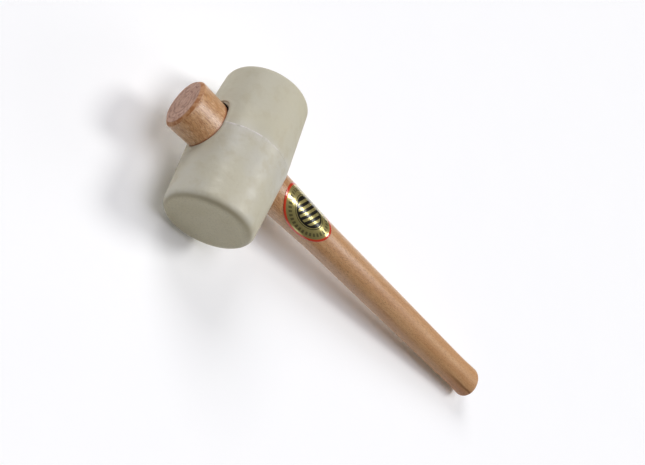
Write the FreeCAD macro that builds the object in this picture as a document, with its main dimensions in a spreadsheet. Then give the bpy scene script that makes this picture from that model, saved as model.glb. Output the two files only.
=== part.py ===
"""Rubber mallet: a moulded rubber head jammed on the wide end of a one-piece
oval beech handle, with a foil sticker wrapped on the handle below the head.

Every sub-part is drawn in the mallet's own axes: the head's centre is at (0, 0, 0),
X runs down the handle from the head to the grip, Y along the head from one
striking face to the other, and Z across the flat side of the oval handle.
lay_down() then lays the mallet on its side, resting on the head and on the butt
of the handle, with the origin under the middle of the whole tool.
"""

import FreeCAD, Part
import math
import os

import Sketcher
from FreeCAD import Placement, Rotation, Vector

# Driving dimensions, in millimetres. A name ending in At is a distance along the
# handle from the head's centre, minus on the stub's side. Wide is measured along
# the head (Y) and Thick across it (Z).
DIMENSIONS = {
    "HeadLength": 105.7,
    "HeadMiddleDiameter": 65,
    "HeadFaceDiameter": 58.4,
    "FaceEdgeRadius": 5.5,
    "StubEndAt": -51.4,
    "StubEndWide": 31.7,
    "StubEndThick": 24.5,
    "StubAt": -49.2,
    "StubWide": 36.1,
    "StubThick": 28.9,
    "EyeTopAt": -26,
    "EyeTopWide": 34.8,
    "EyeTopThick": 27.9,
    "EyeFootAt": 32.5,
    "EyeFootWide": 30.2,
    "EyeFootThick": 24.4,
    "ShaftAt": 87,
    "ShaftWide": 26.4,
    "ShaftThick": 21.6,
    "GripAt": 291,
    "GripWide": 25.6,
    "GripThick": 21.5,
    "ButtAt": 305,
    "ButtLength": 5,
    "ButtWide": 27.3,
    "ButtThick": 23.1,
    "ButtRadius": 4,
    "MouthAt": -36,
    "MouthWide": 37.4,
    "MouthThick": 29.5,
    "MouthShift": 0.6,
    "MouthFootAt": -22,
    "MouthFootWide": 34,
    "MouthFootThick": 27,
    "StickerAt": 61.6,
    "StickerLength": 51,
    "StickerWidth": 35,
    "StickerThickness": 0.2,
}

# The handle's oval sections, in order: the cell with each one's place on the
# handle, and the prefix of the cells with its width and thickness.
HANDLE_SECTIONS = (
    ("StubEndAt", "StubEnd"),
    ("StubAt", "Stub"),
    ("EyeTopAt", "EyeTop"),
    ("EyeFootAt", "EyeFoot"),
    ("ShaftAt", "Shaft"),
    ("GripAt", "Grip"),
    ("ButtAt", "Butt"),
)
EYE_SECTIONS = HANDLE_SECTIONS[1:5]
MOUTH_SECTIONS = (("MouthAt", "Mouth"), ("MouthFootAt", "MouthFoot"))

EDGE_TOLERANCE = 0.01  # how flat an edge's box is when the edge lies in one plane
OUTLINE_POINTS = 32  # points of the sticker's outline spline
ARC_STEPS = 200  # steps of the sum that measures an arc of an oval
FENCE_SPREAD = 0.3  # how far the sticker's cutting fence reaches past its skin, as a share


def make_sheet(doc):
    """The spreadsheet of driving dimensions: a name, and a number with that alias."""
    sheet = doc.addObject("Spreadsheet::Sheet", "Sizes")
    for row, (name, value) in enumerate(DIMENSIONS.items(), start=1):
        sheet.set(f"A{row}", name)
        sheet.set(f"B{row}", str(value))
        sheet.setAlias(f"B{row}", name)
    doc.recompute()
    return sheet


def origin_feature(body, role):
    """The body's own origin plane or axis with that role."""
    return next(f for f in body.Origin.OriginFeatures if f.Role == role)


def new_sketch(body, name, role):
    """An empty sketch on one of the body's own origin planes."""
    sketch = body.newObject("Sketcher::SketchObject", name)
    sketch.AttachmentSupport = [(origin_feature(body, role), "")]
    sketch.MapMode = "FlatFace"
    return sketch


def bind(sketch, constraint, expression):
    """Add a dimension to the sketch and tie it to the sheet."""
    index = sketch.addConstraint(constraint)
    sketch.setExpression(f"Constraints[{index}]", expression)


def oval_sketch(body, name, station, prefix, shift=None):
    """An ellipse across the handle, at a station, with its centre moved along Y by shift."""
    sketch = new_sketch(body, name, "YZ_Plane")
    sketch.setExpression(".AttachmentOffset.Base.z", f"Sizes.{station}")
    if shift:
        sketch.setExpression(".AttachmentOffset.Base.x", f"Sizes.{shift}")
    half_wide = DIMENSIONS[prefix + "Wide"] / 2
    half_thick = DIMENSIONS[prefix + "Thick"] / 2
    oval = sketch.addGeometry(Part.Ellipse(Vector(0, 0, 0), half_wide, half_thick))
    sketch.exposeInternalGeometry(oval)
    long_axis, short_axis = oval + 1, oval + 2
    sketch.addConstraint(Sketcher.Constraint("Coincident", oval, 3, -1, 1))
    sketch.addConstraint(Sketcher.Constraint("Horizontal", long_axis))
    long_size = Sketcher.Constraint("Distance", long_axis, 2 * half_wide)
    short_size = Sketcher.Constraint("Distance", short_axis, 2 * half_thick)
    bind(sketch, long_size, f"Sizes.{prefix}Wide")
    bind(sketch, short_size, f"Sizes.{prefix}Thick")
    return sketch


def oval_loft(body, kind, name, sections, shift=None):
    """A ruled loft, added or subtracted, through oval sections."""
    sketches = [
        oval_sketch(body, f"{name}{number}", station, prefix, shift)
        for number, (station, prefix) in enumerate(sections, start=1)
    ]
    loft = body.newObject(kind, name)
    loft.Profile = sketches[0]
    loft.Sections = sketches[1:]
    loft.Ruled = True
    body.Document.recompute()
    return loft


def edges_in_plane(shape, axis, place):
    """Names of the edges that lie in the plane at right angles to axis at place."""
    names = []
    for number, edge in enumerate(shape.Edges, start=1):
        box = edge.BoundBox
        low, high = getattr(box, axis + "Min"), getattr(box, axis + "Max")
        if max(abs(low - place), abs(high - place)) < EDGE_TOLERANCE:
            names.append(f"Edge{number}")
    return names


def round_edges(body, name, base, edges, cell):
    """A fillet on edges of the base feature, with its radius from the sheet."""
    fillet = body.newObject("PartDesign::Fillet", name)
    fillet.Base = (base, edges)
    fillet.setExpression("Radius", f"Sizes.{cell}")
    body.Document.recompute()
    return fillet


def make_head(doc, sheet):
    """Rubber head: a double cone with rounded faces, and the oval eye through it."""
    body = doc.addObject("PartDesign::Body", "RubberHead")
    body.Label = "rubber_head"
    blank = body_of_revolution(body, sheet)
    half = sheet.HeadLength / 2
    edges = edges_in_plane(blank.Shape, "Y", half) + edges_in_plane(blank.Shape, "Y", -half)
    round_edges(body, "FaceEdges", blank, edges, "FaceEdgeRadius")
    oval_loft(body, "PartDesign::SubtractiveLoft", "Eye", EYE_SECTIONS)
    oval_loft(body, "PartDesign::SubtractiveLoft", "Mouth", MOUTH_SECTIONS, "MouthShift")
    return body


def body_of_revolution(body, sheet):
    """The head's blank: its half outline turned about the striking axis."""
    sketch = new_sketch(body, "HeadOutline", "XY_Plane")
    half = sheet.HeadLength / 2
    face = sheet.HeadFaceDiameter / 2
    middle = sheet.HeadMiddleDiameter / 2
    corners = [(0, -half), (face, -half), (middle, 0), (face, half), (0, half)]
    points = [Vector(x, y, 0) for x, y in corners]
    count = len(points)
    for start, end in zip(points, points[1:] + points[:1]):
        sketch.addGeometry(Part.LineSegment(start, end))
    for line in range(count):
        following = (line + 1) % count
        sketch.addConstraint(Sketcher.Constraint("Coincident", line, 2, following, 1))
    near_face, far_face, axis_line = 0, 3, 4
    y_axis, x_axis = -2, -1
    sketch.addConstraint(Sketcher.Constraint("Horizontal", near_face))
    sketch.addConstraint(Sketcher.Constraint("Horizontal", far_face))
    sketch.addConstraint(Sketcher.Constraint("PointOnObject", axis_line, 1, y_axis))
    sketch.addConstraint(Sketcher.Constraint("PointOnObject", axis_line, 2, y_axis))
    sketch.addConstraint(Sketcher.Constraint("PointOnObject", 1, 2, x_axis))
    half_sizes = (
        (Sketcher.Constraint("DistanceX", -1, 1, 1, 2, middle), "HeadMiddleDiameter"),
        (Sketcher.Constraint("DistanceX", -1, 1, near_face, 2, face), "HeadFaceDiameter"),
        (Sketcher.Constraint("DistanceX", -1, 1, 2, 2, face), "HeadFaceDiameter"),
        (Sketcher.Constraint("DistanceY", -1, 1, far_face, 2, half), "HeadLength"),
        (Sketcher.Constraint("DistanceY", near_face, 1, -1, 1, half), "HeadLength"),
    )
    for constraint, cell in half_sizes:
        bind(sketch, constraint, f"Sizes.{cell} / 2")
    blank = body.newObject("PartDesign::Revolution", "HeadBlank")
    blank.Profile = sketch
    blank.ReferenceAxis = (sketch, ["V_Axis"])
    blank.Angle = 360
    body.Document.recompute()
    return blank


def make_handle(doc, sheet):
    """Beech handle: oval sections from the bevelled stub to the rounded butt."""
    body = doc.addObject("PartDesign::Body", "Handle")
    body.Label = "handle"
    oval_loft(body, "PartDesign::AdditiveLoft", "Stave", HANDLE_SECTIONS)
    butt = body.newObject("PartDesign::Pad", "ButtBlock")
    butt.Profile = oval_sketch(body, "ButtOval", *HANDLE_SECTIONS[-1])
    butt.setExpression("Length", "Sizes.ButtLength")
    doc.recompute()
    edges = edges_in_plane(butt.Shape, "X", sheet.ButtAt + sheet.ButtLength)
    round_edges(body, "ButtEdge", butt, edges, "ButtRadius")
    return body


def section_halves(sheet, place):
    """Half width and half thickness of the handle between the eye's foot and the shaft."""
    share = (place - sheet.EyeFootAt) / (sheet.ShaftAt - sheet.EyeFootAt)
    wide = sheet.EyeFootWide + share * (sheet.ShaftWide - sheet.EyeFootWide)
    thick = sheet.EyeFootThick + share * (sheet.ShaftThick - sheet.EyeFootThick)
    return wide / 2, thick / 2


def wrap_angle(arc, half_wide, half_thick):
    """Angle on an oval, from its crown, at which the arc from the crown is arc long."""
    angle = 0.0
    for _ in range(ARC_STEPS):
        speed = math.hypot(half_wide * math.cos(angle), half_thick * math.sin(angle))
        angle += arc / ARC_STEPS / speed
    return angle


def wrapped_outline(sheet, scale):
    """The sticker's oval outline laid round the handle, grown from its axis by scale."""
    points = []
    for number in range(OUTLINE_POINTS):
        turn = 2 * math.pi * number / OUTLINE_POINTS
        place = sheet.StickerAt + sheet.StickerLength / 2 * math.cos(turn)
        arc = sheet.StickerWidth / 2 * math.sin(turn)
        half_wide, half_thick = section_halves(sheet, place)
        angle = wrap_angle(arc, half_wide, half_thick)
        across = scale * half_wide * math.sin(angle)
        up = scale * half_thick * math.cos(angle)
        points.append(Vector(place, across, up))
    outline = Part.BSplineCurve()
    outline.interpolate(Points=points, PeriodicFlag=True)
    return Part.Wire([outline.toShape()])


def oval_wire(sheet, station, prefix, growth):
    """A section of the handle as a wire, grown outward all round."""
    half_wide = getattr(sheet, prefix + "Wide") / 2 + growth
    half_thick = getattr(sheet, prefix + "Thick") / 2 + growth
    oval = Part.Ellipse(Vector(0, 0, 0), half_wide, half_thick)
    wire = Part.Wire([oval.toShape()])
    across = Rotation(Vector(0, 1, 0), Vector(0, 0, 1), Vector(1, 0, 0))
    wire.Placement = Placement(Vector(getattr(sheet, station), 0, 0), across)
    return wire


def make_sticker(doc, sheet):
    """Foil sticker: a thin skin on the handle's taper, cut out by a radial fence."""
    span = EYE_SECTIONS[2:]
    core = Part.makeLoft([oval_wire(sheet, *section, 0) for section in span], True, True)
    skin = Part.makeLoft(
        [oval_wire(sheet, *section, sheet.StickerThickness) for section in span], True, True
    )
    fence = Part.makeLoft(
        [wrapped_outline(sheet, scale) for scale in (1 - FENCE_SPREAD, 1 + FENCE_SPREAD)],
        False,
        True,
    )
    pieces, _ = skin.cut(core).generalFuse([fence])
    sticker = doc.addObject("Part::Feature", "Sticker")
    sticker.Label = "label"
    sticker.Shape = min(pieces.Solids, key=lambda piece: piece.Volume)
    return sticker


def lay_down(sheet):
    """Placement of the mallet at rest, lying on the head's widest circle and the butt."""
    ball_x = sheet.ButtAt + sheet.ButtLength - sheet.ButtRadius
    ball_drop = sheet.ButtThick / 2 - sheet.ButtRadius
    head_radius = sheet.HeadMiddleDiameter / 2
    reach = math.hypot(ball_x, ball_drop)
    tilt = math.asin((head_radius - sheet.ButtRadius) / reach) - math.atan2(ball_drop, ball_x)
    stub_foot = Vector(sheet.StubEndAt, 0, -sheet.StubEndThick / 2)
    butt_top = Vector(ball_x, 0, ball_drop)
    turn = Rotation(Vector(0, 1, 0), math.degrees(tilt))
    low = turn.multVec(stub_foot).x
    high = turn.multVec(butt_top).x + sheet.ButtRadius
    return Placement(Vector(-(low + high) / 2, 0, head_radius), turn)


def check(doc, parts):
    """Stop if any feature failed or a sub-part is not one sound solid."""
    for item in doc.Objects:
        failed = {"Invalid", "Error"} & set(item.State)
        if failed:
            raise RuntimeError(f"{item.Name}: {sorted(failed)}")
    for part in parts:
        if part.Shape.isNull() or not part.Shape.isValid() or len(part.Shape.Solids) != 1:
            raise RuntimeError(f"{part.Label} is not one valid solid")


def main():
    doc = FreeCAD.newDocument("RubberMallet")
    sheet = make_sheet(doc)
    parts = [make_head(doc, sheet), make_handle(doc, sheet), make_sticker(doc, sheet)]
    doc.recompute()
    rest = lay_down(sheet)
    for part in parts:
        part.Placement = rest
    doc.recompute()
    check(doc, parts)
    os.makedirs("parts", exist_ok=True)
    for part in parts:
        part.Shape.exportStep(f"parts/{part.Label}.step")
        print(f"{part.Label}: {part.Shape.Volume:.1f} mm3, {part.Shape.BoundBox}")


main()
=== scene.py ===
"""Looks of the rubber mallet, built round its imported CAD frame.

The three pieces are meshed in the mallet's own axes, in millimetres: the head's
centre is at (0, 0, 0), X runs down the handle to the grip, Y along the head and Z
across the flat side of the oval handle. REST then lays them down as the CAD lies.
"""

import math

import bmesh
import bpy
import numpy as np
from mathutils import Matrix, Vector, noise


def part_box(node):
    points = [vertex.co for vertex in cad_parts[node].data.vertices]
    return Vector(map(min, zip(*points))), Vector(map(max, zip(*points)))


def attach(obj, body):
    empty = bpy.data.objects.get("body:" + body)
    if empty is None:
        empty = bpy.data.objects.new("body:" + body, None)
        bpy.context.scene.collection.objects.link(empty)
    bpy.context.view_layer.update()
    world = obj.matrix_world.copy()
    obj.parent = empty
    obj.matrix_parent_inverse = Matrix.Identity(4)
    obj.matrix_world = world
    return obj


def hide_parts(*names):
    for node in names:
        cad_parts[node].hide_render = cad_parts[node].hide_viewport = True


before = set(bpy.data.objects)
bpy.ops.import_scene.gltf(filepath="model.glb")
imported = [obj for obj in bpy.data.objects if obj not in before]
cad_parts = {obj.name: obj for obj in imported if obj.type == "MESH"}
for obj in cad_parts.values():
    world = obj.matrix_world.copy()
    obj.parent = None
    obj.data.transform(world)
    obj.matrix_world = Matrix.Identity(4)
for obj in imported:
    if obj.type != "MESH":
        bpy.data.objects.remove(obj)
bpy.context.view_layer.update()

MM = 0.001

# Head: sizes from the frame, and the rest in millimetres.
HEAD_LOW, HEAD_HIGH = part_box("rubber_head")
HEAD_HALF = (HEAD_HIGH.y - HEAD_LOW.y) / 2 / MM
HEAD_RADIUS = (HEAD_HIGH.z - HEAD_LOW.z) / 2 / MM
FACE_RADIUS = 29.2  # where the cone would meet the face, if the edge were sharp
FACE_EDGE = 5.5  # radius of the rounded edge
FACE_DISH = 0.3  # how far the face is sunk inside its edge
FACE_DISH_WIDTH = 5.0
FLASH_HEIGHT = 0.16  # the thin ridge left where the mould's halves met
FLASH_LEAST = 0.04
FLASH_WIDTH = 0.3
FLASH_WANDER = 0.14
LIP_HEIGHT = 0.25  # the ridge round the eye
LIP_WIDTH = 0.8
SWELLS = ((0.09, 17, 5), (0.035, 5, 8))  # unevenness, as (height, width, seed)

# Handle: oval sections as (place, width along Y, thickness along Z).
STUB_END = -51.4
STUB_BEVEL = 2.2
STUB_CORNER = 0.5  # rounding between the stub's end and its bevel
BUTT_END = 310.0
BUTT_RADIUS = 4.0
BUTT_GRAIN_FROM = 0.9  # turn of the butt's rounding past which it shows end grain, in radians
OVALS = np.array([
    (STUB_END, 36.1, 28.9),
    (-26.0, 34.8, 27.9),
    (32.5, 30.2, 24.4),
    (87.0, 26.4, 21.6),
    (291.0, 25.6, 21.5),
    (305.0, 27.3, 23.1),
    (BUTT_END, 27.3, 23.1),
])
BLEND_LENGTH = 7.0  # how gently one taper runs into the next
HANDLE_UNEVEN = 0.0035  # as a share of the handle's width

# Eye: the gap between the head and the handle, and a ledge part way down the hollow, given
# as depths and as the share of the gap that the rubber has closed at each.
EYE_GAP = 0.12
EYE_DEPTH = 11.0  # how deep the gap runs before the rubber meets the wood
HOLLOW_GAP = 2.8  # a shallow hollow in the rubber beside one corner of the stub
HOLLOW_TURN = 54.0
HOLLOW_SPREAD = 22.0
LEDGE_DEPTHS = (0.0, 0.25, 0.38, 0.5, 0.6, 1.0, EYE_DEPTH)
LEDGE_SHARES = (0.0, 0.08, 0.45, 0.68, 0.72, 0.75, 1.0)

# Sticker: an oval, wrapped on the handle's flat side.
STICKER_AT = 61.6
STICKER_HALF_LENGTH = 25.5
STICKER_HALF_WIDTH = 17.5
STICKER_THICKNESS = 0.2
STICKER_LIFT = 0.02  # of its underside, clear of the wood
STICKER_WAVES = 0.015
BORDER_FROM = 0.915  # share of the way from the sticker's middle to its rim
BORDER_HEIGHT = 0.05
PRINT_SCALE = 100  # millimetres to one unit of the print's map

# Camera: places in metres, its roll in degrees and its lens in millimetres.
CAMERA_PLACE = (-0.3315, -0.2629, 0.3973)
CAMERA_TARGET = (-0.0413, 0.0027, 0.0286)
CAMERA_ROLL = 78.9
CAMERA_LENS = 43.24


def rest_matrix():
    """From the mallet's axes to the row's frame: it lies on the head and the butt's edge."""
    ball_x = BUTT_END - BUTT_RADIUS
    ball_drop = OVALS[-1][2] / 2 - BUTT_RADIUS
    reach = math.hypot(ball_x, ball_drop)
    tilt = math.asin((HEAD_RADIUS - BUTT_RADIUS) / reach) - math.atan2(ball_drop, ball_x)
    turn = Matrix.Rotation(tilt, 4, "Y")
    low = (turn @ Vector((STUB_END, 0, STUB_BEVEL - OVALS[0][2] / 2))).x
    high = (turn @ Vector((ball_x, 0, ball_drop))).x + BUTT_RADIUS
    return Matrix.Translation(Vector((-(low + high) / 2, 0, HEAD_RADIUS)) * MM) @ turn


REST = rest_matrix()


# ---------------------------------------------------------------- shapes

def smooth_table():
    """Half widths and thicknesses along the handle, with the tapers run together."""
    places = np.arange(STUB_END - 30, BUTT_END + 30, 0.5)
    offsets = np.arange(-3 * BLEND_LENGTH, 3 * BLEND_LENGTH + 0.5, 0.5)
    weights = np.exp(-((offsets / BLEND_LENGTH) ** 2) / 2)
    weights /= weights.sum()
    halves = []
    for column in (1, 2):
        line = np.interp(places, OVALS[:, 0], OVALS[:, column] / 2)
        halves.append(np.convolve(np.pad(line, len(offsets) // 2, "edge"), weights, "valid"))
    return places, halves[0], halves[1]


PLACES, HALF_WIDES, HALF_THICKS = smooth_table()


def oval(x):
    """Half width and half thickness of the handle at x."""
    return np.interp(x, PLACES, HALF_WIDES), np.interp(x, PLACES, HALF_THICKS)


def ripple(point, size, seed):
    """Smooth noise from -1 to 1, with bumps about size millimetres across."""
    return noise.noise(Vector(point) / size + Vector((seed, 0.37 * seed, -0.61 * seed)))


def make_object(name, points, faces, material_names, face_materials=None):
    """A smooth-shaded mesh object laid down by REST, from points in millimetres."""
    mesh = bpy.data.meshes.new(name)
    mesh.from_pydata([tuple(float(c) * MM for c in point) for point in points], [], faces)
    mesh.update()
    tidy = bmesh.new()
    tidy.from_mesh(mesh)
    bmesh.ops.recalc_face_normals(tidy, faces=tidy.faces)
    tidy.to_mesh(mesh)
    tidy.free()
    mesh.polygons.foreach_set("use_smooth", [True] * len(mesh.polygons))
    piece = bpy.data.objects.new(name, mesh)
    bpy.context.scene.collection.objects.link(piece)
    for material_name in material_names:
        mesh.materials.append(bpy.data.materials[material_name])
    if face_materials is not None:
        mesh.polygons.foreach_set("material_index", face_materials)
    piece.matrix_world = REST
    return piece


def band(first, second):
    """Quads between two closed loops of vertex numbers."""
    count = len(first)
    return [
        (first[i], first[(i + 1) % count], second[(i + 1) % count], second[i])
        for i in range(count)
    ]


def fan(loop, centre):
    """Triangles from a closed loop of vertex numbers to one vertex."""
    count = len(loop)
    return [(loop[i], loop[(i + 1) % count], centre) for i in range(count)]


# ---------------------------------------------------------------- head

FACE_RINGS = 15
EDGE_RINGS = 15
BARREL_RINGS = 35
FLASH_RINGS = 12
SMALLEST_RING = 1.2  # radius
HEAD_COLUMNS = 288
BLOCK_COLUMNS = 36  # columns each side of the eye's middle that its rings replace
BLOCK_HALF = 26.0  # rows this far each side of the middle that they replace
EYE_RINGS = 16
EYE_CROWDING = 1.6  # how much closer those rings lie near the eye
WALL_DEPTHS = (0.08, 0.16, 0.25, 0.32, 0.38, 0.45, 0.5, 0.6, 1.0, 2.0, 4.0, 7.0, 11.0, 15.0)
FLASH_ZONE = 1.5  # the barrel's rings are closer this far each side of the flash
FLASH_TRACK = 40.0  # radius of the circle that the flash's unevenness is taken from
SLOPE = (HEAD_RADIUS - FACE_RADIUS) / HEAD_HALF


def head_rows():
    """The head's outline as (y, radius), from the middle of one face to that of the other."""
    lean = math.atan(SLOPE)
    arc_y = HEAD_HALF - FACE_EDGE
    arc_r = HEAD_RADIUS - SLOPE * arc_y - FACE_EDGE / math.cos(lean)
    rows = []
    for r in np.linspace(SMALLEST_RING, arc_r, FACE_RINGS + 1)[:-1]:
        inside = max(0.0, min(1.0, (arc_r - r) / FACE_DISH_WIDTH))
        dish = FACE_DISH * inside * inside * (3 - 2 * inside)
        rows.append((HEAD_HALF - dish, r))
    for angle in np.linspace(0, math.pi / 2 - lean, EDGE_RINGS):
        rows.append((arc_y + FACE_EDGE * math.cos(angle), arc_r + FACE_EDGE * math.sin(angle)))
    barrel = np.linspace(rows[-1][0], FLASH_ZONE, BARREL_RINGS + 1)[1:]
    middle = np.linspace(FLASH_ZONE, 0, FLASH_RINGS + 1)[1:]
    rows += [(y, HEAD_RADIUS - SLOPE * y) for y in (*barrel, *middle)]
    mirrored = [(-y, r) for y, r in rows]
    return mirrored + rows[-2::-1]


def flash(y, around):
    """Height of the mould's flash at a distance y from the middle and an angle round Y."""
    place = (FLASH_TRACK * math.cos(around), 0, FLASH_TRACK * math.sin(around))
    wander = FLASH_WANDER * ripple(place, 9, 3)
    height = max(FLASH_LEAST, FLASH_HEIGHT * (0.75 + 0.9 * ripple(place, 4, 11)))
    return height * math.exp(-(((y - wander) / FLASH_WIDTH) ** 2))


def barrel_point(side, around, y, lift=0.0):
    """Point of the barrel at an angle from the side's middle (side 1: grip, -1: stub)."""
    from_grip = around if side > 0 else math.pi - around
    radius = HEAD_RADIUS - SLOPE * abs(y) + flash(y, from_grip) + lift
    return (side * radius * math.cos(around), y, radius * math.sin(around))


def hollow(side, turn):
    """How much of the hollow beside the stub there is at a turn round the handle's axis."""
    away = math.remainder(turn - math.radians(HOLLOW_TURN), 2 * math.pi)
    return math.exp(-((away / math.radians(HOLLOW_SPREAD)) ** 2)) if side < 0 else 0.0


def eye_edge(side, turn):
    """Angle round the barrel and y of the eye's edge, at a turn round the handle's axis."""
    gap = EYE_GAP + HOLLOW_GAP * hollow(side, turn)
    x = side * HEAD_RADIUS
    for _ in range(6):
        half_wide, half_thick = oval(x)
        y = (half_wide + gap) * math.sin(turn)
        z = (half_thick + gap) * math.cos(turn)
        radius = HEAD_RADIUS - SLOPE * abs(y)
        x = side * math.sqrt(radius * radius - z * z)
    return math.asin(z / radius), y


def make_head():
    rows = head_rows()
    points = []
    for row, (y, radius) in enumerate(rows):
        for column in range(HEAD_COLUMNS):
            around = 2 * math.pi * column / HEAD_COLUMNS
            lift = flash(y, around) if abs(y) < FLASH_ZONE * 2 else 0.0
            grown = radius + lift
            points.append((grown * math.cos(around), y, grown * math.sin(around)))

    def number(row, column):
        return row * HEAD_COLUMNS + column % HEAD_COLUMNS

    low_row = min(i for i, (y, _) in enumerate(rows) if abs(y) < BLOCK_HALF)
    high_row = len(rows) - 1 - low_row
    middles = {1: 0, -1: HEAD_COLUMNS // 2}
    faces = []
    for row in range(len(rows) - 1):
        for column in range(HEAD_COLUMNS):
            from_grip = (column + BLOCK_COLUMNS) % HEAD_COLUMNS < 2 * BLOCK_COLUMNS
            from_stub = abs(column + 0.5 - HEAD_COLUMNS // 2) < BLOCK_COLUMNS
            if low_row <= row < high_row and (from_grip or from_stub):
                continue
            faces.append((
                number(row, column), number(row, column + 1),
                number(row + 1, column + 1), number(row + 1, column),
            ))
    for row in (0, len(rows) - 1):
        points.append((0, rows[row][0], 0))
        faces += fan([number(row, c) for c in range(HEAD_COLUMNS)], len(points) - 1)

    mouths = {}
    for side, middle in middles.items():
        mouths[side] = eye_rings(points, faces, rows, number, side, middle, low_row, high_row)
    faces += band(mouths[1], mouths[-1])
    roughen(points)
    return make_object("mallet_head", points, faces, ["natural_rubber"])


def eye_rings(points, faces, rows, number, side, middle, low_row, high_row):
    """Rings of quads from a block's border to the eye's edge and down its wall."""
    border = [(low_row, k) for k in range(-BLOCK_COLUMNS, BLOCK_COLUMNS)]
    border += [(row, BLOCK_COLUMNS) for row in range(low_row, high_row)]
    border += [(high_row, k) for k in range(BLOCK_COLUMNS, -BLOCK_COLUMNS, -1)]
    border += [(row, -BLOCK_COLUMNS) for row in range(high_row, low_row, -1)]
    step = 2 * math.pi / HEAD_COLUMNS
    loop = [number(row, middle + side * k) for row, k in border]
    spots = []
    for row, k in border:
        around, y = step * k, rows[row][0]
        turn = math.atan2(y / BLOCK_HALF, around / (step * BLOCK_COLUMNS))
        spots.append((around, y, *eye_edge(side, turn), turn))
    reach = BLOCK_HALF - oval(side * HEAD_RADIUS)[0]
    for ring in range(1, EYE_RINGS + 1):
        share = 1 - (1 - ring / EYE_RINGS) ** EYE_CROWDING
        fresh = []
        for around, y, edge_around, edge_y, _ in spots:
            distance = (1 - share) * reach
            lift = LIP_HEIGHT * math.exp(-((distance - LIP_WIDTH) / LIP_WIDTH) ** 2)
            points.append(barrel_point(
                side,
                around + share * (edge_around - around),
                y + share * (edge_y - y),
                lift,
            ))
            fresh.append(len(points) - 1)
        faces += band(loop, fresh)
        loop = fresh
    return eye_wall(points, faces, loop, spots, side)


def eye_wall(points, faces, loop, spots, side):
    """The eye's wall, from its rounded edge down to where the rubber meets the wood."""
    for depth in WALL_DEPTHS:
        straight = min(1.0, depth / EYE_DEPTH)
        ledge = np.interp(depth, LEDGE_DEPTHS, LEDGE_SHARES)
        fresh = []
        for _, _, edge_around, edge_y, turn in spots:
            edge_x, edge_y, edge_z = barrel_point(side, edge_around, edge_y)
            x = edge_x - side * depth
            half_wide, half_thick = oval(x)
            wood = (half_wide * math.sin(turn), half_thick * math.cos(turn))
            share = straight + (ledge - straight) * hollow(side, turn)
            points.append((
                x, edge_y + share * (wood[0] - edge_y), edge_z + share * (wood[1] - edge_z)
            ))
            fresh.append(len(points) - 1)
        faces += band(loop, fresh)
        loop = fresh
    return loop


def roughen(points):
    """Small unevenness of the moulded rubber, pressed flat where the head rests."""
    back = REST.inverted()
    for index, (x, y, z) in enumerate(points):
        radius = math.hypot(x, z)
        swell = sum(height * ripple((x, y, z), width, seed) for height, width, seed in SWELLS)
        if abs(y) > HEAD_HALF - 1:
            points[index] = (x, y + math.copysign(swell, y), z)
        elif radius > 1:
            grow = 1 + swell / radius
            points[index] = (x * grow, y, z * grow)
        rest = REST @ (Vector(points[index]) * MM)
        if rest.z < 0:
            points[index] = tuple(back @ Vector((rest.x, rest.y, 0)) / MM)


# ---------------------------------------------------------------- handle

HANDLE_COLUMNS = 144
HANDLE_STEP = 1.6
STUB_INSETS = (12.0, 9.0, 6.0, 4.0, 3.0, 2.55)  # rings on the stub's flat end
BUTT_INSETS = (4.6, 6.0, 8.0, 10.0)
BEVEL_SOFTNESS = 0.1


def handle_rows():
    """(place, inset, end) of each ring, with end 1 on the end grain and its bevels."""
    rows = [(STUB_END, inset, 1) for inset in STUB_INSETS]
    for angle in np.linspace(0, math.pi / 4, 4):
        rows.append((
            STUB_END + STUB_CORNER * (1 - math.cos(angle)),
            STUB_BEVEL + STUB_CORNER * (0.5 - math.sin(angle)), 1,
        ))
    for share in (0.3, 0.6, 0.85):
        rows.append((STUB_END + STUB_BEVEL * share, STUB_BEVEL * (1 - share), 1))
    side_start = STUB_END + STUB_BEVEL
    side_end = BUTT_END - BUTT_RADIUS - 1
    rows.append((side_start + BEVEL_SOFTNESS, BEVEL_SOFTNESS / 2, 0))
    rows += [(x, 0.0, 0) for x in np.arange(side_start + HANDLE_STEP / 2, side_end, HANDLE_STEP)]
    for angle in np.linspace(0, math.pi / 2, 12):
        x = BUTT_END - BUTT_RADIUS + BUTT_RADIUS * math.sin(angle)
        rows.append((x, BUTT_RADIUS * (1 - math.cos(angle)), int(angle > BUTT_GRAIN_FROM)))
    rows += [(BUTT_END, inset, 1) for inset in BUTT_INSETS]
    return rows


def make_handle():
    rows = handle_rows()
    points, faces, ends, loops = [], [], [], []
    for x, inset, _ in rows:
        half_wide, half_thick = oval(x)
        loop = []
        for column in range(HANDLE_COLUMNS):
            turn = 2 * math.pi * column / HANDLE_COLUMNS
            y = (half_wide - inset) * math.sin(turn)
            z = (half_thick - inset) * math.cos(turn)
            grow = 1 + HANDLE_UNEVEN * ripple((x / 5, y, z), 9, 2)
            points.append((x, y * grow, z * grow))
            loop.append(len(points) - 1)
        loops.append(loop)
    for row, (first, second) in enumerate(zip(loops, loops[1:])):
        faces += band(first, second)
        ends += [int(rows[row][2] and rows[row + 1][2])] * HANDLE_COLUMNS
    for loop, x in ((loops[0], STUB_END), (loops[-1], BUTT_END)):
        points.append((x, 0, 0))
        faces += fan(loop, len(points) - 1)
        ends += [1] * HANDLE_COLUMNS
    woods = ["lacquered_beech", "beech_end_grain"]
    return make_object("mallet_handle", points, faces, woods, ends)


# ---------------------------------------------------------------- sticker

STICKER_RINGS = 56
STICKER_COLUMNS = 256
WRAP_STEPS = 40


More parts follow.
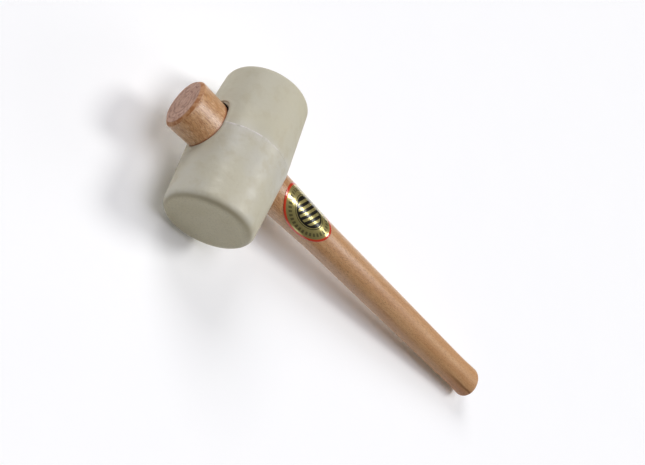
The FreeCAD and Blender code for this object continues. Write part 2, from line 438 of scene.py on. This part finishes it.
def wrap(along, arc, lift):
    """Point of the handle's surface at a distance along it and an arc from its crown."""
    x = STICKER_AT + along
    half_wide, half_thick = oval(x)
    angle, step = 0.0, arc / WRAP_STEPS
    for _ in range(WRAP_STEPS):
        middle = angle + step / 2 / math.hypot(
            half_wide * math.cos(angle), half_thick * math.sin(angle)
        )
        angle += step / math.hypot(half_wide * math.cos(middle), half_thick * math.sin(middle))
    outward = Vector((0, math.sin(angle) / half_wide, math.cos(angle) / half_thick)).normalized()
    point = Vector((x, half_wide * math.sin(angle), half_thick * math.cos(angle)))
    return point + outward * lift


def foil_relief(share, along, arc):
    """Height of the foil's embossing and of its slight waves."""
    border = BORDER_HEIGHT if share > BORDER_FROM else 0.0
    return border + STICKER_WAVES * ripple((along, arc, 0), 7, 4)


def make_sticker():
    points, faces, flat = [], [], []
    loops = {}
    for layer, lift in (("top", STICKER_THICKNESS), ("bottom", STICKER_LIFT)):
        loops[layer] = []
        for ring in range(1, STICKER_RINGS + 1):
            share = ring / STICKER_RINGS
            loop = []
            for column in range(STICKER_COLUMNS):
                turn = 2 * math.pi * column / STICKER_COLUMNS
                along = STICKER_HALF_LENGTH * share * math.cos(turn)
                arc = STICKER_HALF_WIDTH * share * math.sin(turn)
                relief = foil_relief(share, along, arc) if layer == "top" else 0.0
                points.append(wrap(along, -arc, lift + relief))
                flat.append((along, arc))
                loop.append(len(points) - 1)
            loops[layer].append(loop)
        points.append(wrap(0, 0, lift))
        flat.append((0, 0))
        faces += fan(loops[layer][0], len(points) - 1)
        for first, second in zip(loops[layer], loops[layer][1:]):
            faces += band(first, second)
    faces += band(loops["top"][-1], loops["bottom"][-1])
    piece = make_object("mallet_label", points, faces, ["printed_foil"])
    print_map = piece.data.uv_layers.new(name="Print")
    numbers = np.empty(len(piece.data.loops), dtype=int)
    piece.data.loops.foreach_get("vertex_index", numbers)
    print_map.data.foreach_set("uv", np.array(flat)[numbers].ravel() / PRINT_SCALE)
    return piece


# ---------------------------------------------------------------- materials

class Shader:
    """A material with a Principled BSDF, and short ways to add nodes to it.

    Lengths in its nodes are millimetres. Sockets and plain numbers mix freely.
    """

    def __init__(self, name, constants):
        material = bpy.data.materials.new(name)
        material.use_nodes = True
        self.tree = material.node_tree
        self.surface = next(n for n in self.tree.nodes if n.type == "BSDF_PRINCIPLED")
        for socket_name, value in constants.items():
            self.surface.inputs[socket_name].default_value = value

    def node(self, kind, inputs=(), **settings):
        """A new node, with its inputs given as (place or name, socket or value) pairs."""
        made = self.tree.nodes.new(kind)
        for name, value in settings.items():
            setattr(made, name, value)
        for place, value in inputs:
            if isinstance(value, bpy.types.NodeSocket):
                self.tree.links.new(value, made.inputs[place])
            else:
                made.inputs[place].default_value = value
        return made

    def connect(self, socket_name, value):
        self.tree.links.new(value, self.surface.inputs[socket_name])

    def math(self, operation, *values):
        return self.node(
            "ShaderNodeMath", list(enumerate(values)), operation=operation
        ).outputs[0]

    def add(self, *values):
        total = values[0]
        for value in values[1:]:
            total = self.math("ADD", total, value)
        return total

    def times(self, *values):
        total = values[0]
        for value in values[1:]:
            total = self.math("MULTIPLY", total, value)
        return total

    def most(self, *values):
        total = values[0]
        for value in values[1:]:
            total = self.math("MAXIMUM", total, value)
        return total

    def length(self, first, second):
        squares = self.math("MULTIPLY", first, first), self.math("MULTIPLY", second, second)
        return self.math("SQRT", self.add(*squares))

    def ramp(self, value, start, end, low=0.0, high=1.0):
        """Smooth step of value from low, at start, to high, at end."""
        return self.node(
            "ShaderNodeMapRange",
            [("Value", value), ("From Min", start), ("From Max", end),
             ("To Min", low), ("To Max", high)],
            interpolation_type="SMOOTHSTEP",
        ).outputs[0]

    def between(self, value, low, high, blur):
        """1 where value lies between low and high, with edges blurred over blur."""
        rise = self.ramp(value, low - blur / 2, low + blur / 2)
        return self.times(rise, self.ramp(value, high - blur / 2, high + blur / 2, 1.0, 0.0))

    def mix(self, share, first, second):
        """Colour from first, where share is 0, to second, where it is 1."""
        return self.node(
            "ShaderNodeMix", [(0, share), (6, first), (7, second)], data_type="RGBA"
        ).outputs[2]

    def place(self, stretch=1.0, move=(0, 0, 0)):
        """The point in the mallet's axes, in millimetres times stretch, one number or three."""
        if not isinstance(stretch, tuple):
            stretch = (stretch,) * 3
        coordinates = self.node("ShaderNodeTexCoord").outputs["Object"]
        return self.node(
            "ShaderNodeVectorMath",
            [(0, coordinates), (1, [s / MM for s in stretch]), (2, move)],
            operation="MULTIPLY_ADD",
        ).outputs[0]

    def split(self, vector):
        return self.node("ShaderNodeSeparateXYZ", [(0, vector)]).outputs

    def noise(self, vector, detail=2.0, roughness=0.5):
        """Noise round 0.5, whose bumps are about 1 unit of the vector across."""
        return self.node("ShaderNodeTexNoise", [
            ("Vector", vector), ("Scale", 1.0), ("Detail", detail), ("Roughness", roughness),
        ]).outputs["Fac"]

    def bump(self, height, distance, normal=None):
        """Normal from a height, from 0 to 1, that stands for distance millimetres."""
        inputs = [("Height", height), ("Distance", distance * MM), ("Strength", 1.0)]
        if normal is not None:
            inputs.append(("Normal", normal))
        return self.node("ShaderNodeBump", inputs).outputs[0]


def shade(red, green, blue):
    """Colour for a shader from the red, green and blue of a screen, from 0 to 255."""
    linear = [((c / 255 + 0.055) / 1.055) ** 2.4 if c > 10 else c / 255 / 12.92
              for c in (red, green, blue)]
    return (*linear, 1.0)


def above_barrel(shader, x, y, z):
    """Height above the barrel's surface, negative inside the eye."""
    barrel = shader.add(HEAD_RADIUS, shader.times(shader.math("ABSOLUTE", y), -SLOPE))
    return shader.add(shader.length(x, z), shader.times(barrel, -1.0))


def rubber_clouds(rubber, y, patches, specks):
    """The moulding's own colour, which is yellower on the far half."""
    clouds = rubber.noise(rubber.place(0.03, (5, 1, 3)), 3.0)
    far_half = rubber.ramp(y, -1.0, 6.0)
    tone = rubber.mix(rubber.ramp(clouds, 0.35, 0.65), shade(197, 193, 178), shade(197, 191, 168))
    tone = rubber.mix(rubber.times(far_half, 0.5), tone, shade(193, 186, 158))
    tone = rubber.mix(rubber.ramp(patches, 0.48, 0.7, 0.0, 0.6), tone, shade(189, 181, 156))
    return rubber.mix(rubber.ramp(specks, 0.6, 0.75, 0.0, 0.25), tone, shade(168, 158, 132))


def rubber_faces(rubber, tone, x, y, z, specks):
    """The tone with darker, yellower striking faces, partly their own tone and partly painted
    shade, and a band of painted shade round their rounded edges.
    """
    out, along = rubber.length(x, z), rubber.math("ABSOLUTE", y)
    # Partly painted shade: the faces, the -Y face most, are darker and yellower than the barrel.
    face_tone_and_shade = rubber.times(
        rubber.ramp(along, HEAD_HALF - 3.0, HEAD_HALF - 1.0),
        rubber.ramp(out, 26.0, 29.0, 1.0, 0.0),
        rubber.ramp(y, -30.0, 30.0, 0.9, 0.5),
    )
    speckled = rubber.times(face_tone_and_shade, rubber.ramp(specks, 0.45, 0.7))
    # Painted shade: a darker band round each face's rounded edge.
    painted_edge_shade = rubber.times(rubber.ramp(along, 44.0, 47.0), rubber.between(out, 26.2, 28.2, 1.8))
    tone = rubber.mix(face_tone_and_shade, tone, shade(184, 175, 143))
    tone = rubber.mix(speckled, tone, shade(170, 162, 136))
    return rubber.mix(rubber.times(painted_edge_shade, 0.75), tone, shade(160, 150, 122))


def flash_mark(rubber, x, y):
    """Where the rubber is paler, on the broken line of the flash and the scuffs beside it."""
    wander = rubber.noise(rubber.place((0.14, 0.0, 0.14), (3, 3, 3)), 2.0)
    broken = rubber.noise(rubber.place((0.25, 0.0, 0.25), (1, 5, 2)), 2.0)
    seam = rubber.math("ABSOLUTE", rubber.add(y, rubber.times(wander, 0.8), -0.4))
    line = rubber.times(
        rubber.ramp(seam, 0.2, 0.7, 0.9, 0.0), rubber.ramp(broken, 0.4, 0.62, 0.15, 1.0)
    )
    scuffed = rubber.times(
        rubber.between(y, -4.5, 0.5, 2.0), rubber.ramp(broken, 0.35, 0.6, 0.0, 0.14)
    )
    return rubber.times(rubber.most(line, scuffed), rubber.ramp(x, -10.0, 10.0, 1.0, 0.1))


def rubber_material():
    """Pale natural rubber: faint clouds of yellow and grey, a paler flash, fine pits."""
    rubber = Shader("natural_rubber", {"Specular IOR Level": 0.5})
    x, y, z = rubber.split(rubber.place())
    patches = rubber.noise(rubber.place(0.11, (2, 7, 1)), 3.0, 0.6)
    specks = rubber.noise(rubber.place(0.8), 3.0, 0.7)
    # Painted shade: the rubber inside the eye, below the barrel's surface, is near-black.
    painted_eye_shade = rubber.times(
        rubber.ramp(above_barrel(rubber, x, y, z), -1.1, -0.6, 0.8, 0.0),
        rubber.ramp(rubber.math("ABSOLUTE", y), 20.0, 22.0, 1.0, 0.0),
    )
    tone = rubber_clouds(rubber, y, patches, specks)
    tone = rubber_faces(rubber, tone, x, y, z, specks)
    tone = rubber.mix(flash_mark(rubber, x, y), tone, shade(226, 219, 214))
    tone = rubber.mix(painted_eye_shade, tone, shade(60, 48, 34))
    rubber.connect("Base Color", tone)
    duller = rubber.ramp(y, -4.0, 24.0, 0.0, 0.16)
    rubber.connect("Roughness", rubber.add(rubber.ramp(patches, 0.3, 0.7, 0.38, 0.52), duller))
    dents = rubber.noise(rubber.place(0.22, (9, 9, 9)), 2.0, 0.4)
    grain = rubber.noise(rubber.place(2.2), 2.0, 0.6)
    rubber.connect("Normal", rubber.bump(grain, 0.02, rubber.bump(dents, 0.25)))


PITH = (-5.0, 24.0)  # the tree's centre beside the handle's axis, as (y, z)
RING_WIDTH = 3.2  # of one year's growth
RING_DRIFT = 3.0  # how far the rings wander, in rings
HEART_FROM = 9.8  # from the handle's axis to the dark streak at the butt


def growth_rings(wood):
    """Distance from the pith in growth rings, made uneven by noise."""
    x, y, z = wood.split(wood.place())
    lean = wood.times(x, 0.012)
    across = wood.add(y, -PITH[0], lean)
    above = wood.add(z, -PITH[1])
    distance = wood.length(across, above)
    drift = wood.noise(wood.place((0.012, 0.06, 0.06), (4, 4, 4)), 2.0)
    fine = wood.noise(wood.place((0.03, 0.35, 0.35), (8, 1, 2)), 2.0)
    return wood.add(
        wood.times(distance, 1 / RING_WIDTH), wood.times(drift, RING_DRIFT), wood.times(fine, 0.5)
    )


def ring_lines(wood, rings):
    """0 in the early wood, rising to 1 at the late wood's sharp line."""
    share = wood.math("FRACT", rings)
    return wood.times(wood.ramp(share, 0.25, 0.93), wood.ramp(share, 0.93, 1.0, 1.0, 0.0))


HEART_TONE = shade(84, 38, 16)


def heart_streak(wood, x, y, z):
    """Shares of dark heartwood, along one edge of the butt, and of the rosy wood beyond it."""
    near_butt = wood.ramp(x, 255.0, 300.0)
    wander = wood.times(wood.noise(wood.place((0.04, 0.1, 0.1))), 2.0)
    beyond = wood.add(y, HEART_FROM, wander)
    streak = wood.between(beyond, -0.7, 0.6, 1.0)
    second = wood.times(wood.between(beyond, -3.4, -2.7, 0.8), 0.5)
    dark = wood.times(wood.add(streak, second), near_butt, wood.ramp(z, -2.0, 1.0))
    return dark, wood.times(wood.ramp(beyond, -5.0, 1.5, 1.0, 0.0), near_butt)


def beech_grain(beech, x, streaks, fibres, flecks):
    """Side grain's own colour, with a mottle that is strongest on the stub."""
    lines = ring_lines(beech, growth_rings(beech))
    mottle = beech.noise(beech.place((0.28, 1.2, 1.2), (9, 2, 7)), 3.0, 0.7)
    clouds = beech.noise(beech.place((0.012, 0.15, 0.15), (7, 3, 5)), 2.0)
    on_stub = beech.ramp(x, 0.0, 90.0, 0.75, 0.25)
    dark_mottle = beech.times(beech.ramp(mottle, 0.5, 0.66), on_stub)
    pale_mottle = beech.times(beech.ramp(mottle, 0.32, 0.46, 1.0, 0.0), on_stub)
    tone = beech.mix(beech.ramp(clouds, 0.35, 0.65), shade(207, 166, 121), shade(195, 148, 101))
    tone = beech.mix(beech.times(lines, 0.3), tone, shade(178, 124, 80))
    tone = beech.mix(beech.ramp(streaks, 0.5, 0.72, 0.0, 0.6), tone, shade(166, 112, 70))
    tone = beech.mix(beech.ramp(streaks, 0.25, 0.45, 0.35, 0.0), tone, shade(218, 184, 142))
    tone = beech.mix(beech.ramp(fibres, 0.35, 0.7, 0.0, 0.3), tone, shade(186, 136, 90))
    tone = beech.mix(dark_mottle, tone, shade(156, 102, 62))
    tone = beech.mix(pale_mottle, tone, shade(226, 192, 158))
    return beech.mix(beech.ramp(flecks, 0.58, 0.67, 0.0, 0.7), tone, shade(130, 82, 48))


def beech_marks(beech, tone, x, y, z):
    """The tone with the butt's heartwood, painted shade on the wood beside the head and inside the
    eye, and the grip's wear.
    """
    heart, rosy = heart_streak(beech, x, y, z)
    tone = beech.mix(beech.times(rosy, 0.85), tone, shade(152, 66, 36))
    tone = beech.mix(beech.ramp(x, 304.0, 309.0, 0.0, 0.7), tone, shade(200, 152, 124))
    tone = beech.mix(beech.times(heart, 0.9), tone, HEART_TONE)
    clear = above_barrel(beech, x, y, z)
    # Painted shade: the wood darkens where it meets the rubber, and is near-black inside the eye.
    tone = beech.mix(beech.ramp(clear, 0.2, 1.5, 0.75, 0.0), tone, shade(146, 82, 48))
    tone = beech.mix(beech.ramp(clear, -1.0, -0.4, 0.8, 0.0), tone, shade(60, 34, 20))
    return beech.mix(beech.ramp(x, 100.0, 280.0, 0.0, 0.35), tone, shade(188, 136, 80))


def beech_material():
    """Steamed beech with fine lines and dark flecks, under lacquer that thins to the butt."""
    beech = Shader("lacquered_beech", {
        "Specular IOR Level": 0.3, "Coat Roughness": 0.33, "Coat IOR": 1.45,
    })
    x, y, z = beech.split(beech.place())
    streaks = beech.noise(beech.place((0.02, 0.9, 0.9), (1, 2, 3)), 4.0, 0.65)
    fibres = beech.noise(beech.place((0.12, 4.0, 4.0), (3, 1, 2)), 3.0, 0.6)
    flecks = beech.noise(beech.place((0.5, 3.2, 3.2), (6, 5, 4)), 1.0, 0.4)
    tone = beech_grain(beech, x, streaks, fibres, flecks)
    beech.connect("Base Color", beech_marks(beech, tone, x, y, z))
    beech.connect("Coat Weight", beech.ramp(x, 90.0, 300.0, 0.85, 0.3))
    worn = beech.ramp(x, 100.0, 290.0, 0.0, 0.2)
    beech.connect("Roughness", beech.add(beech.ramp(streaks, 0.3, 0.7, 0.36, 0.5), worn))
    pits = beech.ramp(flecks, 0.6, 0.7, 1.0, 0.0)
    beech.connect("Normal", beech.bump(pits, 0.04, beech.bump(fibres, 0.05)))


TOOL_PITCH = 3.2  # between the marks that a turning tool left on the ends


def tool_marks(end, y, z, broken):
    """Broken arcs round the handle's axis."""
    out = end.add(end.length(end.times(y, 0.8), z), end.times(broken, 2.0))
    arcs = end.between(end.math("FRACT", end.times(out, 1 / TOOL_PITCH)), 0.35, 0.6, 0.2)
    return end.times(arcs, end.ramp(end.noise(end.place((0.1, 0.17, 0.17))), 0.46, 0.56))


def beech_end_material():
    """The beech's turned ends: pinker, with arcs and open pores, and darker bevels."""
    end = Shader("beech_end_grain", {"Specular IOR Level": 0.35, "Roughness": 0.55})
    x, y, z = end.split(end.place())
    pores = end.noise(end.place((0.5, 0.85, 0.85), (2, 6, 1)), 2.0, 0.6)
    clouds = end.noise(end.place((0.1, 0.16, 0.16), (1, 9, 2)), 2.0)
    broken = end.noise(end.place((0.1, 0.14, 0.14), (3, 3, 8)), 2.0)
    patches = end.noise(end.place((0.2, 0.3, 0.3), (5, 2, 2)), 3.0, 0.6)
    lines = end.times(ring_lines(end, growth_rings(end)), end.ramp(broken, 0.4, 0.6, 0.15, 0.5))
    bevel = end.between(x, STUB_END + 0.2, STUB_END + STUB_BEVEL + 0.3, 0.5)
    bevel_tone = end.mix(end.ramp(patches, 0.4, 0.6), shade(160, 104, 60), shade(186, 138, 96))
    heart, _ = heart_streak(end, x, y, z)
    tone = end.mix(end.ramp(clouds, 0.3, 0.7), shade(192, 155, 134), shade(178, 138, 116))
    tone = end.mix(lines, tone, shade(140, 92, 72))
    tone = end.mix(end.ramp(pores, 0.61, 0.68, 0.0, 0.85), tone, shade(96, 54, 40))
    tone = end.mix(end.times(tool_marks(end, y, z, broken), 0.7), tone, shade(112, 64, 48))
    tone = end.mix(bevel, tone, bevel_tone)
    tone = end.mix(end.times(heart, 0.75), tone, HEART_TONE)
    end.connect("Base Color", tone)
    end.connect("Normal", end.bump(pores, 0.12))


# ---- sticker print: shares run from 0 at its middle to 1 at its rim

TICKS = 36
TICKS_FROM = 0.7
TICKS_TO = 0.83
MEDAL_TO = 0.6
KEYLINE_FROM = 0.535
KEYLINE_TO = 0.56
BARS_TO = 0.45
BAR_PITCH = 4.2  # millimetres, as are the sticker's own sizes
BAR_WIDTH = 1.9
BAR_SLANT = math.radians(35.0)
BAR_BLUR = 0.12
PRINT_BLUR = 0.02
BLOTCH_SCALE = 22


def print_place(foil, scale):
    """The place on the sticker from its middle, in the print map's units times scale."""
    flat = foil.node("ShaderNodeUVMap", uv_map="Print").outputs[0]
    return foil.node(
        "ShaderNodeVectorMath", [(0, flat), (1, (scale,) * 3)], operation="MULTIPLY"
    ).outputs[0]


def slanted_bars(foil, u, v):
    """Plain parallel bars at a slant to the handle."""
    across = foil.add(
        foil.times(u, math.cos(BAR_SLANT)), foil.times(v, math.sin(BAR_SLANT)), BAR_PITCH / 2
    )
    from_gap = foil.math("PINGPONG", across, BAR_PITCH / 2)
    gap = (BAR_PITCH - BAR_WIDTH) / 2
    return foil.ramp(from_gap, gap - BAR_BLUR, gap + BAR_BLUR)


def sticker_print(foil, u, v):
    """Shares of red and of near-black print at u along the handle and v round it."""
    along = foil.times(u, 1 / STICKER_HALF_LENGTH)
    round_it = foil.times(v, 1 / STICKER_HALF_WIDTH)
    share = foil.length(along, round_it)
    red = foil.ramp(share, BORDER_FROM - PRINT_BLUR / 2, BORDER_FROM + PRINT_BLUR / 2)
    medal = foil.ramp(share, MEDAL_TO - PRINT_BLUR, MEDAL_TO, 1.0, 0.0)
    keyline = foil.between(share, KEYLINE_FROM, KEYLINE_TO, PRINT_BLUR)
    bars = foil.times(
        slanted_bars(foil, u, v), foil.ramp(share, BARS_TO, BARS_TO + PRINT_BLUR, 1.0, 0.0)
    )
    medal = foil.math("SUBTRACT", medal, foil.most(bars, keyline))
    turn = foil.math("ARCTAN2", round_it, along)
    beat = foil.math("FRACT", foil.times(foil.add(turn, math.pi), TICKS / 2 / math.pi))
    ticks = foil.times(
        foil.between(beat, 0.2, 0.8, 0.1), foil.between(share, TICKS_FROM, TICKS_TO, PRINT_BLUR)
    )
    return red, foil.most(medal, foil.times(ticks, 0.85))


def foil_material():
    """Gold foil printed in red and near-black, under a clear gloss film."""
    foil = Shader("printed_foil", {
        "Roughness": 0.2, "Coat Weight": 1.0, "Coat Roughness": 0.12, "Coat IOR": 1.45,
    })
    u, v, _ = foil.split(print_place(foil, PRINT_SCALE))
    red, dark = sticker_print(foil, u, v)
    blotches = foil.noise(print_place(foil, BLOTCH_SCALE), 2.0)
    tone = foil.mix(blotches, shade(222, 206, 140), shade(198, 186, 112))
    tone = foil.mix(red, tone, shade(206, 66, 40))
    tone = foil.mix(dark, tone, shade(34, 32, 26))
    foil.connect("Base Color", tone)
    printed = foil.math("MINIMUM", foil.times(foil.add(red, dark), 0.55), 0.64)
    foil.connect("Metallic", foil.math("SUBTRACT", 0.66, printed))


def floor_material():
    paper = Shader("floor_paper", {
        "Roughness": 0.9, "Specular IOR Level": 0.2,
        "Emission Color": (1, 0.97, 0.88, 1), "Emission Strength": 0.085,
    })
    fibres = paper.noise(paper.place(0.02), 2.0)
    paper.connect("Base Color", paper.mix(fibres, shade(246, 246, 246), shade(248, 248, 247)))


# ---------------------------------------------------------------- stage

FLOOR_HALF = 6.0  # metres


def make_floor():
    mesh = bpy.data.meshes.new("floor")
    corners = [(-1, -1), (1, -1), (1, 1), (-1, 1)]
    mesh.from_pydata([(x * FLOOR_HALF, y * FLOOR_HALF, 0) for x, y in corners], [], [(0, 1, 2, 3)])
    mesh.materials.append(bpy.data.materials["floor_paper"])
    floor = bpy.data.objects.new("floor", mesh)
    bpy.context.scene.collection.objects.link(floor)


def far_light(name, toward, spread, brightness, colour=(1, 1, 1)):
    """Distant soft light, spread degrees wide, that makes a white card this bright."""
    light = bpy.data.lights.new(name, "SUN")
    light.color = colour
    light.angle = math.radians(spread)
    light.energy = brightness * math.pi
    lamp = bpy.data.objects.new(name, light)
    direction = Vector(toward).normalized()
    lamp.location = direction * 2.0
    lamp.rotation_euler = direction.to_track_quat("Z", "Y").to_euler()
    bpy.context.scene.collection.objects.link(lamp)


def make_light():
    """Soft suns from above, the stub's side, the grip's side and low past the butt.

    The world is white to the camera alone and lights nothing.
    """
    world = bpy.data.worlds.new("studio")
    world.use_nodes = True
    nodes, links = world.node_tree.nodes, world.node_tree.links
    sky = next(n for n in nodes if n.type == "BACKGROUND")
    sky.inputs["Color"].default_value = (1, 1, 1, 1)
    links.new(nodes.new("ShaderNodeLightPath").outputs["Is Camera Ray"], sky.inputs["Strength"])
    bpy.context.scene.world = world
    far_light("top_light", (0, 0, 1), 40, 0.38, (1, 1, 1.08))
    far_light("left_light", (-0.586, 0.586, 0.559), 28, 0.4, (1, 1, 1.04))
    far_light("right_light", (0.509, 0.294, 0.809), 18, 0.39)
    far_light("low_light", (0.925, 0.163, 0.342), 30, 0.12)


def make_camera():
    camera = bpy.data.cameras.new("camera")
    camera.lens = CAMERA_LENS
    camera.sensor_width = 36.0
    eye = bpy.data.objects.new("camera", camera)
    place, target = Vector(CAMERA_PLACE), Vector(CAMERA_TARGET)
    upright = (target - place).to_track_quat("-Z", "Y").to_matrix().to_4x4()
    eye.matrix_world = (
        Matrix.Translation(place) @ upright @ Matrix.Rotation(math.radians(CAMERA_ROLL), 4, "Z")
    )
    bpy.context.scene.collection.objects.link(eye)
    bpy.context.scene.camera = eye


bpy.context.scene.view_settings.view_transform = "Standard"
make_camera()
rubber_material()
beech_material()
beech_end_material()
foil_material()
floor_material()
make_floor()
make_light()

for maker, node, slot in (
    (make_head, "rubber_head", "head_rubber"),
    (make_handle, "handle", "handle_beech"),
    (make_sticker, "label", "label_foil"),
):
    piece = maker()
    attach(piece, "root")
    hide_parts(node)
